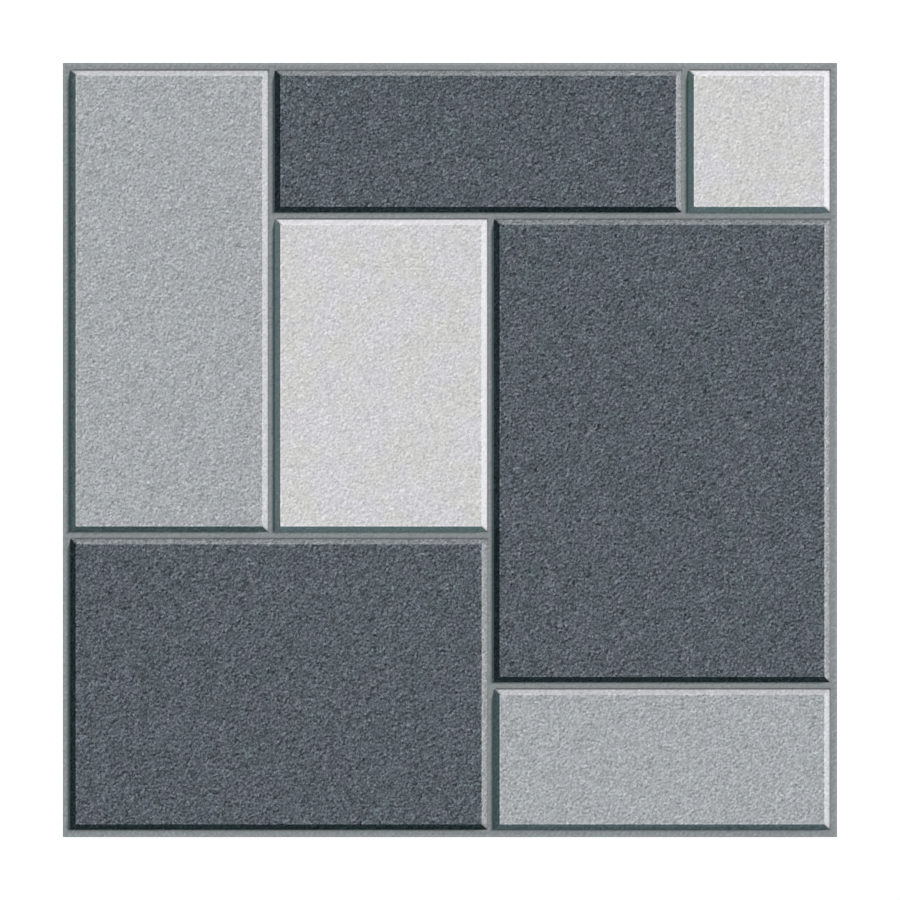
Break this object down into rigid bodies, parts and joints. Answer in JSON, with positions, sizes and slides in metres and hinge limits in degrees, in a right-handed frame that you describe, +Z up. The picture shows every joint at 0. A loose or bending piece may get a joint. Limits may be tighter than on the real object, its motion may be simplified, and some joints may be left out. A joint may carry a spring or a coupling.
{
  "type": "concrete paving slab",
  "caption": "Square cast concrete paving slab whose face imitates bevelled stones of mixed sizes in three greys, set apart by recessed joints, with a ledge round the rim.",
  "frame": {"origin": "middle of the flat bed that the slab lies on", "axes": "+Z up through the walking face, +X to the right and +Y to the top of the pattern seen from above"},
  "size_m": [0.4, 0.4, 0.04],
  "materials": {
    "concrete": "matte"
  },
  "bodies": {
    "root": {"paving_slab": "concrete"}
  },
  "joints": []
}
